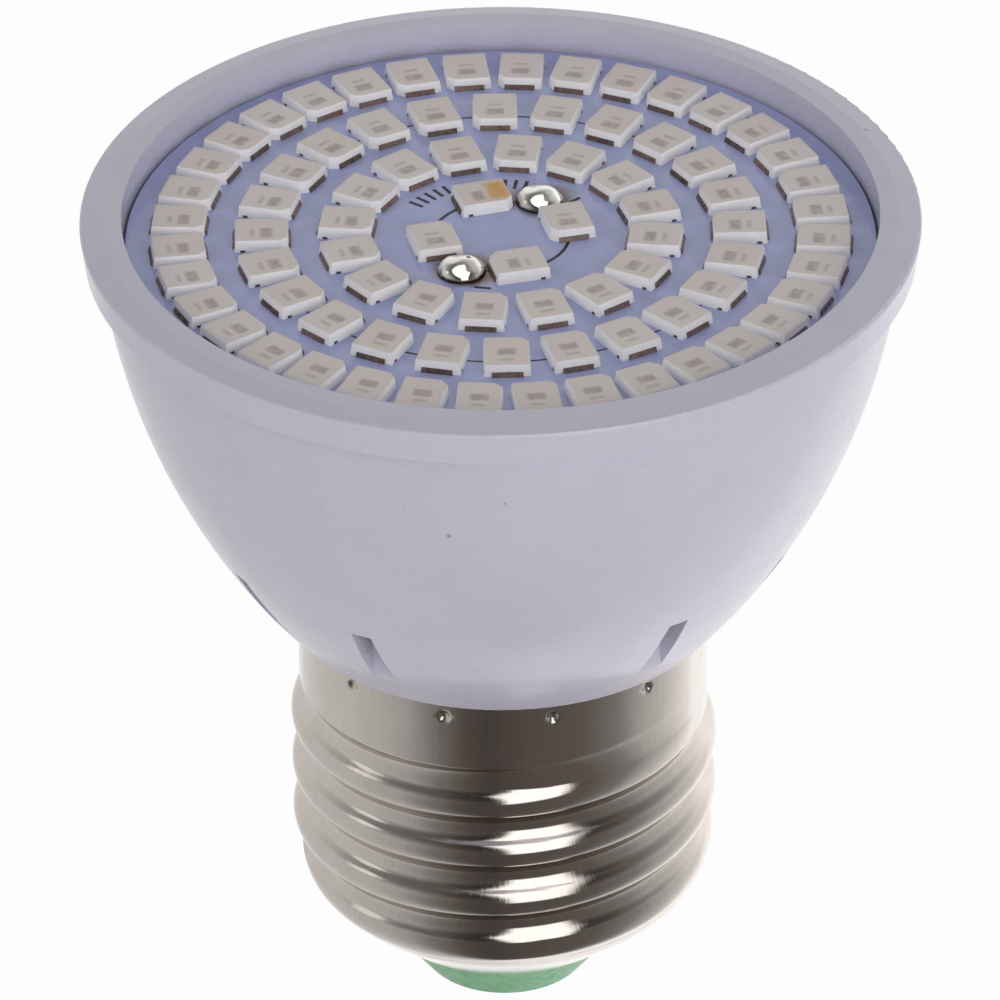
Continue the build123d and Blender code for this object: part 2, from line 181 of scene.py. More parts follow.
def shader_group(name: str, inputs: dict[str, float], output: str, fill: Fill) -> bpy.types.NodeTree:
    """Build a shared shader group that reads a place and some numbers and gives one value.

    Args:
        name: Name of the group.
        inputs: Its number inputs with their usual values.
        output: Name of its one output.
        fill: Adds the group's nodes, from its tree and its inputs by name, and gives the value.

    Returns:
        The group.
    """
    group = bpy.data.node_groups.new(name, "ShaderNodeTree")
    group.interface.new_socket(name="Place", in_out="INPUT", socket_type="NodeSocketVector")
    for key, value in inputs.items():
        socket = group.interface.new_socket(name=key, in_out="INPUT", socket_type="NodeSocketFloat")
        socket.default_value = value
    group.interface.new_socket(name=output, in_out="OUTPUT", socket_type="NodeSocketFloat")
    tree = Tree(group)
    given = {socket.name: socket for socket in tree.add("NodeGroupInput").outputs}
    tree.add("NodeGroupOutput", {output: fill(tree, given)})
    return group


def mottle(tree: Tree, given: dict[str, Socket]) -> Socket:
    """Give the mottling that moulded and coated faces share."""
    return tree.noise(given["Place"], tree.times(given["Per mm"], 1 / MM), *MOTTLE_NOISE)


def specks(tree: Tree, given: dict[str, Socket]) -> Socket:
    """Scatter specks of dust and dark grains in plastic.

    Args:
        tree: The group's tree.
        given: Its inputs: the place, cells per millimetre, share of cells with a speck, and size.

    Returns:
        1 on a speck and 0 beside it.
    """
    scale = tree.times(given["Per mm"], 1 / MM)
    cells = tree.add("ShaderNodeTexVoronoi", {"Vector": given["Place"], "Scale": scale}).outputs
    red, _, _ = tree.split(cells["Color"])
    chosen = tree.math("LESS_THAN", red, given["Share"])
    small = tree.math("LESS_THAN", cells["Distance"], given["Size"])
    return tree.times(chosen, small)


def streaks(tree: Tree, given: dict[str, Socket]) -> Socket:
    """Draw fine lines that run up a turned metal face.

    Args:
        tree: The group's tree.
        given: Its inputs: the place, and how fine the lines are around and along the axis.

    Returns:
        The lines as a noise.
    """
    x, y, z = tree.split(given["Place"])
    turn = tree.math("ARCTAN2", x, tree.times(y, -1.0))
    around = tree.times(turn, given["Around"])
    along = tree.times(z, 1 / MM, given["Along"])
    place = tree.add("ShaderNodeCombineXYZ", {"X": around, "Y": along}).outputs[0]
    return tree.noise(place, 1.0, *STREAK_NOISE)


GRAIN = shader_group("mottle", {"Per mm": 1.0}, "Grain", mottle)
SPECKS = shader_group("specks", {"Per mm": 1.0, "Share": 0.1, "Size": 0.1}, "Mask", specks)
STREAKS = shader_group("axial streaks", {"Around": 60.0, "Along": 0.1}, "Streak", streaks)


def fresh_tree(block: bpy.types.Material | bpy.types.World) -> Tree:
    """Empty the tree of a material or a world.

    Args:
        block: The material or world.

    Returns:
        Its empty tree.
    """
    block.use_nodes = True
    block.node_tree.nodes.clear()
    return Tree(block.node_tree)


@dataclass(frozen=True)
class Surface:
    """What a finish works on: the material's tree, the place on the object and the mottling there."""

    tree: Tree
    place: Socket
    grain: Socket


@dataclass(frozen=True)
class Finish:
    """Finish of one material, with a fine mottling in colour, gloss and height.

    Attributes:
        name: The material's name.
        colour: Linear base colour.
        shade: Colour that the mottling tends to.
        roughness: Middle of the roughness.
        metallic: 1 for bare metal.
        coat: Weight of a clear coat.
        grain_per_mm: Fineness of the mottling.
        grain_depth: How far the mottling moves roughness.
        bump_mm: Height of the mottling, or 0 for a smooth face.
    """

    name: str
    colour: Colour
    shade: Colour
    roughness: float = 0.4
    metallic: float = 0.0
    coat: float = 0.0
    grain_per_mm: float = 2.0
    grain_depth: float = 0.08
    bump_mm: float = 0.004

    def build(self) -> bpy.types.Material:
        """Make the material.

        Returns:
            The material, ready for a slot.
        """
        material = bpy.data.materials.new(self.name)
        tree = fresh_tree(material)
        place = tree.add("ShaderNodeTexCoord").outputs["Object"]
        on = Surface(tree, place, tree.group(GRAIN, Place=place, Per_mm=self.grain_per_mm))
        low = self.roughness - self.grain_depth
        high = self.roughness + self.grain_depth
        values = {
            "Base Color": self.paint(on),
            "Roughness": self.gloss(on, tree.ramp(on.grain, *GLOSS_GRAIN, low, high)),
            "Metallic": self.metallic,
            "Coat Weight": self.coat,
            "IOR": IOR,
            "Coat Roughness": COAT_ROUGHNESS,
        }
        if self.bump_mm:
            values["Normal"] = self.relief(on)
        shader = tree.add("ShaderNodeBsdfPrincipled", values)
        tree.add("ShaderNodeOutputMaterial", {"Surface": shader.outputs[0]})
        return material

    def paint(self, on: Surface) -> Socket:
        """Colour the surface by its mottling."""
        return on.tree.mix(on.tree.ramp(on.grain, *COLOUR_GRAIN), self.colour, self.shade)

    def gloss(self, on: Surface, roughness: Socket) -> Socket:
        """Set the roughness."""
        return roughness

    def relief(self, on: Surface) -> Socket:
        """Raise the surface by the mottling."""
        return on.tree.add("ShaderNodeBump", {"Distance": self.bump_mm * MM, "Height": on.grain}).outputs[0]


@dataclass(frozen=True)
class CupPlastic(Finish):
    """White moulded plastic with a faint lavender cast and a few grey grains."""

    speck: Colour = (0.20, 0.19, 0.22)
    speck_per_mm: float = 0.32
    speck_share: float = 0.16
    speck_size: float = 0.045
    speck_strength: float = 0.6

    def paint(self, on: Surface) -> Socket:
        """Colour the plastic and set its grains in it.

        Args:
            on: What is painted.

        Returns:
            The colour.
        """
        mask = on.tree.group(
            SPECKS, Place=on.place, Per_mm=self.speck_per_mm, Share=self.speck_share, Size=self.speck_size
        )
        return on.tree.mix(on.tree.times(mask, self.speck_strength), super().paint(on), self.speck)


@dataclass(frozen=True)
class BoardMask(Finish):
    """Pale solder mask over metal, darkened round the two joints by flux stain and by painted shade."""

    joints_mm: tuple[Pair, ...] = ()
    flux_and_shade: Colour = (0.16, 0.10, 0.03)
    stain_and_shade_shift_mm: Pair = (0.2, 0.1)
    stain_and_shade_ragged_mm: float = 1.4
    stain_and_shade_radii_mm: Pair = (2.05, 3.05)

    def paint(self, on: Surface) -> Socket:
        """Colour the mask, and darken it round each joint with flux stain and painted shade.

        Args:
            on: What is painted.

        Returns:
            The colour.
        """
        tree = on.tree
        colour = super().paint(on)
        inner, outer = (radius * MM for radius in self.stain_and_shade_radii_mm)
        for joint in self.joints_mm:
            centre = shifted(joint, self.stain_and_shade_shift_mm, frame_top("led_board"))
            ragged = tree.times(on.grain, self.stain_and_shade_ragged_mm * MM)
            away = tree.plus(tree.distance(on.place, centre), ragged)
            # flux stain and painted shade: a ragged brown ring round each joint's foot
            colour = tree.mix(tree.ramp(away, inner, outer, 1.0, 0.0), colour, self.flux_and_shade)
        return colour


@dataclass(frozen=True)
class MouldedSide(Finish):
    """White housing with painted shade for a small notch low on each long side."""

    notch_shade_colour: Colour = (0.05, 0.045, 0.04)
    notch_shade_place: float = 0.85
    notch_shade_reach: Pair = (0.035, 0.056)
    notch_shade_height_mm: Pair = (0.1, 0.18)
    notch_shade_sides: Pair = (0.45, 0.47)

    def paint(self, on: Surface) -> Socket:
        """Colour the housing and paint the shade of its notches.

        Args:
            on: What is painted.

        Returns:
            The colour.
        """
        tree = on.tree
        u, v = tree.flat_map()
        along = tree.math("ABSOLUTE", tree.minus(u, self.notch_shade_place))
        beside = tree.math("ABSOLUTE", tree.minus(v, 0.5))
        height = tree.minus(tree.split(on.place)[2], frame_top("led_board"))
        near = tree.ramp(along, *self.notch_shade_reach, 1.0, 0.0)
        low = tree.ramp(height, *(value * MM for value in self.notch_shade_height_mm), 1.0, 0.0)
        out = tree.ramp(beside, *self.notch_shade_sides)
        # painted shade: a near-black patch low on each long side, near one end, stands for the shade in a
        # notch
        return tree.mix(tree.times(near, low, out), super().paint(on), self.notch_shade_colour)


@dataclass(frozen=True)
class TinnedLead(Finish):
    """Dull brown lead frame that differs a little from diode to diode."""

    grain_range: Pair = (0.4, 0.7)

    def paint(self, on: Surface) -> Socket:
        """Colour the terminals by each diode's own tone."""
        both = on.tree.plus(on.tree.attribute("tone", "Fac"), on.tree.ramp(on.grain, *self.grain_range))
        return on.tree.mix(on.tree.times(both, 0.5), self.colour, self.shade)


@dataclass(frozen=True)
class FrostedTop(Finish):
    """Cloudy filling of a diode, with the chip and its pad dimly seen through it.

    The pieces' own "marks" attribute slides the chip's marks in the map, and its third number turns them
    round. Centres, half sizes and the blur are shares of the housing's length and width.
    """

    chip: Colour = (0.30, 0.235, 0.22)
    chip_centre: Pair = (0.41, 0.5)
    chip_half: Pair = (0.105, 0.195)
    pad_centre: Pair = (0.665, 0.5)
    pad_half: Pair = (0.035, 0.155)
    pad_share: float = 0.8
    blur: float = 0.05
    tone_share: float = 0.8
    marks_share: float = 0.62
    marks_broken: tuple[float, float, float, float] = (0.25, 0.6, 0.55, 1.0)

    def paint(self, on: Surface) -> Socket:
        """Colour the filling and set the chip and pad in it by the piece's own map.

        Args:
            on: What is painted.

        Returns:
            The colour.
        """
        tree = on.tree
        tone = tree.times(tree.attribute("tone", "Fac"), self.tone_share)
        base = tree.mix(tone, self.colour, self.shade)
        u, v = tree.flat_map()
        slide_u, slide_v, turned_round = tree.split(tree.attribute("marks", "Vector"))
        one_way = tree.plus(u, slide_u)
        ways = {0: turned_round, 2: one_way, 3: tree.minus(1.0, one_way)}
        spot = (tree.add("ShaderNodeMix", ways).outputs[0], tree.plus(v, slide_v))
        chip = self.patch(tree, spot, self.chip_centre, self.chip_half)
        pad = tree.times(self.patch(tree, spot, self.pad_centre, self.pad_half), self.pad_share)
        broken = tree.times(tree.math("MAXIMUM", chip, pad), tree.ramp(on.grain, *self.marks_broken))
        return tree.mix(tree.times(broken, self.marks_share), base, self.chip)

    def patch(self, tree: Tree, spot: tuple[Socket, Socket], centre: Pair, half: Pair) -> Socket:
        """Mask a rectangle with soft edges in the piece's own map.

        Args:
            tree: The material's tree.
            spot: Place in the map.
            centre: Middle of the rectangle.
            half: Half its sizes.

        Returns:
            1 on the rectangle and 0 beside it.
        """
        sides = []
        for value, middle, reach in zip(spot, centre, half):
            away = tree.math("ABSOLUTE", tree.minus(value, middle))
            sides.append(tree.ramp(away, reach - self.blur, reach + self.blur, 1.0, 0.0))
        return tree.times(*sides)


@dataclass(frozen=True)
class ScorchedTop(FrostedTop):
    """The middle diodes' filling, with the orange scorch that one of them has."""

    scorch: Colour = (0.72, 0.40, 0.12)
    scorch_centre_mm: Pair = (-0.18, 4.16)
    scorch_turn: float = 195.0
    scorch_half_mm: Pair = (0.75, 1.15)
    scorch_ragged_mm: float = 0.5
    scorch_blur_mm: Pair = (-0.3, 0.5)

    def paint(self, on: Surface) -> Socket:
        """Colour the filling and lay the scorch over it.

        Args:
            on: What is painted.

        Returns:
            The colour.
        """
        tree = on.tree
        x, y = self.scorch_centre_mm
        placing = {
            "Vector": on.place,
            "Location": (x * MM, y * MM, 0.0),
            "Rotation": (0.0, 0.0, math.radians(self.scorch_turn)),
        }
        turned = tree.split(tree.add("ShaderNodeMapping", placing, vector_type="TEXTURE").outputs[0])
        sides = []
        for value, half in zip(turned, self.scorch_half_mm):
            away = tree.plus(tree.math("ABSOLUTE", value), tree.times(on.grain, self.scorch_ragged_mm * MM))
            low, high = ((half + blur) * MM for blur in self.scorch_blur_mm)
            sides.append(tree.ramp(away, low, high, 1.0, 0.0))
        return tree.mix(tree.times(*sides), super().paint(on), self.scorch)


@dataclass(frozen=True)
class DrawnMetal(Finish):
    """Plated metal with fine lines along its axis, and broader ones in its colour."""

    around: float = 90.0
    along: float = 0.12
    line_mm: float = 0.003
    broad_share: float = 0.6
    broad_range: Pair = (0.35, 0.7)
    rough_lines: tuple[float, float, float, float] = (0.5, 0.8, 0.0, 0.12)

    def lines(self, on: Surface, share: float = 1.0) -> Socket:
        """Draw the lines, at a share of their usual number."""
        return on.tree.group(STREAKS, Place=on.place, Around=self.around * share, Along=self.along)

    def paint(self, on: Surface) -> Socket:
        """Colour the metal and let the lines in it be a little paler or darker.

        Args:
            on: What is painted.

        Returns:
            The colour.
        """
        broad = on.tree.ramp(self.lines(on, self.broad_share), *self.broad_range)
        both = on.tree.plus(broad, on.tree.ramp(on.grain, *COLOUR_GRAIN))
        return on.tree.mix(on.tree.times(both, 0.5), self.colour, self.shade)

    def gloss(self, on: Surface, roughness: Socket) -> Socket:
        """Make the lines a little rougher."""
        return on.tree.plus(roughness, on.tree.ramp(self.lines(on), *self.rough_lines))

    def relief(self, on: Surface) -> Socket:
        """Cut the lines into the surface.

        Args:
            on: What is cut.

        Returns:
            The normal.
        """
        cut = {"Distance": self.line_mm * MM, "Height": self.lines(on)}
        fine = on.tree.add("ShaderNodeBump", cut).outputs[0]
        raised = {"Distance": self.bump_mm * MM, "Height": on.grain, "Normal": fine}
        return on.tree.add("ShaderNodeBump", raised).outputs[0]


@dataclass(frozen=True)
class Solder(Finish):
    """Bright solder with painted shade at its foot, where it meets the board, and painted shade of a small
    pit near its top.
    """

    foot: Colour = (0.05, 0.045, 0.04)
    foot_shade_height_mm: Pair = (0.08, 0.3)
    pit_shade_places_mm: tuple[Pair, ...] = ()
    pit_shade_offset_mm: Pair = (0.42, 0.25)
    pit_shade_radii_mm: Pair = (0.13, 0.195)
    pit_shade_strength: float = 0.9

    def paint(self, on: Surface) -> Socket:
        """Colour the solder, with painted shade low down by its height over the board, and paint the shade
        of the pit in it.

        Args:
            on: What is painted.

        Returns:
            The colour.
        """
        tree = on.tree
        height = tree.minus(tree.split(on.place)[2], frame_top("led_board"))
        low, high = (value * MM for value in self.foot_shade_height_mm)
        # painted shade: the solder turns near-black towards the board, where the dome meets it
        colour = tree.mix(tree.ramp(height, low, high, 1.0, 0.0), super().paint(on), self.foot)
        level = {0: on.place, 1: (1.0, 1.0, 0.0)}
        flat = tree.add("ShaderNodeVectorMath", level, operation="MULTIPLY").outputs[0]
        inner, outer = (radius * MM for radius in self.pit_shade_radii_mm)
        # painted shade of a pit: a dark round spot near the top of the first dome
        for joint in self.pit_shade_places_mm:
            away = tree.distance(flat, shifted(joint, self.pit_shade_offset_mm, 0.0))
            near = tree.ramp(away, inner, outer, self.pit_shade_strength, 0.0)
            colour = tree.mix(near, colour, self.foot)
        return colour


def frame_top(node: str) -> float:
    """Give the height of a node's top."""
    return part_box(node)[1].z


def middle_mm(node: str) -> Pair:
    """Give the plan place of a node's middle in millimetres."""
    low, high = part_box(node)
    return (low.x + high.x) / 2 / MM, (low.y + high.y) / 2 / MM


def shifted(place_mm: Pair, shift_mm: Pair, height: float) -> Place:
    """Give a place in metres, beside a plan place in millimetres."""
    return (place_mm[0] + shift_mm[0]) * MM, (place_mm[1] + shift_mm[1]) * MM, height


def round_axis(radius: float, angle: float, height: float) -> Vector:
    """Give a place by its radius, its angle from the front towards +X, and its height."""
    return Vector((radius * math.sin(angle), -radius * math.cos(angle), height))


def paint_node(node: str, finish: Finish) -> None:
    """Give a node of the frame a finish in its own slots.

    Args:
        node: The node's name.
        finish: Its finish.
    """
    material = finish.build()
    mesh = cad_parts[node].data
    for index in range(len(mesh.materials)):
        mesh.materials[index] = material
    LOG.info("node %s has %s", node, finish.name)


def add_piece(name: str, mesh: bpy.types.Mesh, slot: str, *nodes: str) -> None:
    """Show a finished mesh as a piece that stands for some nodes.

    Args:
        name: Name of the piece.
        mesh: The mesh, in place, in metres.
        slot: The record's material slot. It is not used.
        nodes: Nodes that the piece stands for, or none.
    """
    piece = bpy.data.objects.new(name, mesh)
    bpy.context.scene.collection.objects.link(piece)
    if nodes:
        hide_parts(*nodes)
    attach(piece, BODY)
    LOG.info("piece %s has %d faces", name, len(mesh.polygons))


def mesh_of(
    name: str,
    shape: Shape,
    sharp: float = 40.0,
    work_on: Callable[[bmesh.types.BMesh], None] | None = None,
) -> bpy.types.Mesh:
    """Make a smooth-shaded mesh whose faces point outwards.

    Args:
        name: Name of the mesh.
        shape: Corners in millimetres, and the corners of each face.
        sharp: Angle in degrees from which an edge stays sharp.
        work_on: Changes the mesh while it is open, or nothing.

    Returns:
        The mesh, in metres.
    """
    points, faces = shape
    mesh = bpy.data.meshes.new(name)
    mesh.from_pydata([tuple(point * MM) for point in points], [], faces)
    work = bmesh.new()
    work.from_mesh(mesh)
    bmesh.ops.remove_doubles(work, verts=work.verts, dist=WELD_MM * MM)
    if work_on:
        work_on(work)
    bmesh.ops.recalc_face_normals(work, faces=work.faces)
    work.to_mesh(mesh)
    work.free()
    mesh.shade_smooth()
    mesh.set_sharp_from_angle(angle=math.radians(sharp))
    return mesh


def smooth_step(value: float, low: float, high: float) -> float:
    """Go smoothly from 0 at one value to 1 at another."""
    share = min(1.0, max(0.0, (value - low) / (high - low)))
    return share * share * (3 - 2 * share)


def grid_faces(rows: int, columns: int, closed: bool = True) -> Faces:
    """Join rings of points, each to the next, into quads.

    Args:
        rows: Number of rings.
        columns: Number of points in a ring.
        closed: Whether the last ring is joined to the first.

    Returns:
        The faces.
    """
    faces = []
    for row in range(rows if closed else rows - 1):
        below = row * columns
        above = (row + 1) % rows * columns
        for column in range(columns):
            beside = (column + 1) % columns
            faces.append((below + column, below + beside, above + beside, above + column))
    return faces


def joined(shapes: list[Shape]) -> Shape:
    """Put shapes together as one.

    Args:
        shapes: The shapes.

    Returns:
        One shape with all their points and faces.
    """
    points = []
    faces = []
    for some_points, some_faces in shapes:
        start = len(points)
        points += some_points
        faces += [tuple(start + i for i in face) for face in some_faces]
    return points, faces


@dataclass
class ScrewShell:
    """Rolled lamp shell: plain collar, round thread, punch marks and turned-in cone.

    Lengths are millimetres. The crest's and root's fades are in turns of the thread from its start.
    """

    collar_radius: float = 12.57
    sheet: float = 0.3
    crest_radius: float = 13.1
    round_radius: float = 1.025
    pitch: float = 25.4 / 7
    crest_height: float = 14.75
    start_turn: float = -90.0
    crest_start: float = -3.0
    crest_rise: float = 0.8
    crest_fade: Pair = (0.2, 0.47)
    root_start: Pair = (-3.1, -2.6)
    root_fade: Pair = (0.5, 0.95)
    cone_top_radius: float = 12.3
    cone_height: float = 3.6
    mouth_radius: float = 8.28
    corner_blend: float = 1.1
    mark_count: int = 12
    mark_turn: float = -1.5
    mark_drop: float = 1.5
    mark_ball: float = 0.45
    mark_depth: float = 0.26
    row_step: float = 0.12
    column_step: float = 0.34
    mark_step: float = 0.1
    mark_reach: float = 0.48
    sharp: float = 60.0
    mouth: float = field(init=False)
    top: float = field(init=False)

    def __post_init__(self) -> None:
        """Take the shell's place from the frame."""
        self.mouth, self.top = (corner.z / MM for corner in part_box("screw_shell"))

    def base(self, height: float) -> float:
        """Give the radius of the shell without its thread.

        Args:
            height: Height in the part.

        Returns:
            The radius, with the corner over the cone rounded off.
        """
        corner = self.mouth + self.cone_height
        slope = (self.cone_top_radius - self.mouth_radius) / self.cone_height
        cone = self.cone_top_radius + (height - corner) * slope
        wall = self.collar_radius
        blend = max(0.0, self.corner_blend - abs(cone - wall)) / self.corner_blend
        return min(cone, wall) - blend * blend * self.corner_blend / 4

    def thread(self, turn: float, height: float) -> float:
        """Tell how far the thread stands out of the plain shell, or goes into it.

        Args:
            turn: Degrees round the axis, from the front towards +X.
            height: Height in the part.

        Returns:
            Millimetres outwards.
        """
        wound = (turn - self.start_turn) / 360
        down = (self.mouth + self.crest_height - height) / self.pitch + wound
        offset = abs(down - round(down)) * self.pitch
        swing = math.sqrt(self.round_radius**2 - (self.pitch / 4) ** 2)
        crest_centre = self.crest_radius - self.round_radius
        if offset <= self.pitch / 4:
            radius = crest_centre + math.sqrt(self.round_radius**2 - offset**2)
        else:
            root_centre = crest_centre + 2 * swing
            radius = root_centre - math.sqrt(self.round_radius**2 - (self.pitch / 2 - offset) ** 2)
        stand = radius - self.collar_radius
        if stand > 0:
            along = wound - round(down)
            rise = min(1.0, max(0.0, (along - self.crest_start) / self.crest_rise))
            return stand * (1 - smooth_step(along, *self.crest_fade)) * rise
        along = wound - (math.floor(down) + 0.5)
        return stand * (1 - smooth_step(along, *self.root_fade)) * smooth_step(along, *self.root_start)

    def punch(self, turn: float, height: float) -> float:
        """Give the depth of the punch mark at a place on the collar.

        Args:
            turn: Degrees round the axis, from the front towards +X.
            height: Height in the part.

        Returns:
            Millimetres inwards, or 0 beside the marks.
        """
        spacing = 360 / self.mark_count
        beside = (turn - self.mark_turn) % spacing - spacing / 2
        across = math.radians(beside) * self.collar_radius
        away = math.hypot(across, height - (self.top - self.mark_drop))
        if away >= self.mark_ball:
            return 0.0
        return max(0.0, math.sqrt(self.mark_ball**2 - away**2) - (self.mark_ball - self.mark_depth))

    def point(self, turn: float, height: float, inset: float) -> Vector:
        """Give a point of the shell's outside, or of its inside.

        Args:
            turn: Degrees round the axis, from the front towards +X.
            height: Height in the part.
            inset: 0 outside, or the sheet's thickness inside.

        Returns:
            The point.
        """
        radius = self.base(height) + self.thread(turn, height) - self.punch(turn, height) - inset
        return round_axis(radius, math.radians(turn), height)

    def turns(self) -> list[float]:
        """Give the turns of the columns, closer together across each punch mark.

        Returns:
            Degrees from -180 to 180.
        """
        spacing = 360 / self.mark_count
        reach = math.degrees(self.mark_reach / self.collar_radius)
        gap = spacing - 2 * reach
        fine = max(2, round(2 * self.mark_reach / self.mark_step))
        wide = max(2, round(math.radians(gap) * self.collar_radius / self.column_step))
        turns = []
        for mark in range(self.mark_count):
            middle = self.mark_turn + spacing * (mark + 0.5)
            turns += [middle - reach + 2 * reach * i / fine for i in range(fine)]
            turns += [middle + reach + gap * i / wide for i in range(wide)]
        return [(turn + 180) % 360 - 180 for turn in turns]

    def build(self, finish: Finish) -> None:
        """Make the shell, put its finish on and show it.

        Args:
            finish: The plating.
        """
        turns = self.turns()
        rows = math.ceil((self.top - self.mouth) / self.row_step)
        heights = [self.mouth + (self.top - self.mouth) * i / rows for i in range(rows + 1)]
        inside = list(reversed(heights[::2]))
        points = [self.point(turn, height, 0.0) for height in heights for turn in turns]
        points += [self.point(turn, height, self.sheet) for height in inside for turn in turns]
        faces = grid_faces(len(heights) + len(inside), len(turns))
        mesh = mesh_of("threaded_shell", (points, faces), self.sharp)
        mesh.materials.append(finish.build())
        add_piece("threaded_shell", mesh, "shell_nickel", "screw_shell")


@dataclass(frozen=True)
class RingPlan:
    """Plan of one ring of diodes.

    Attributes:
        label: Its name.
        count: Number of diodes.
        radius: Radius in millimetres.
        phase: Turn of the first, in degrees.
        own_turn: Turn of each about itself, in degrees.
        reversed_from: Number of the first whose chip faces the other way.
    """

    label: str
    count: int
    radius: float
    phase: float
    own_turn: float
    reversed_from: int


class Ring(Enum):
    """The four rings of diodes."""

    OUTER = RingPlan("outer", 36, 19.19, 6.1, 0.0, 36)
    MIDDLE = RingPlan("middle", 24, 14.2, 1.25, 0.0, 24)
    INNER = RingPlan("inner", 16, 9.21, -6.4, 0.0, 16)
    CENTRE = RingPlan("centre", 4, 4.07, 15.0, 90.0, 2)


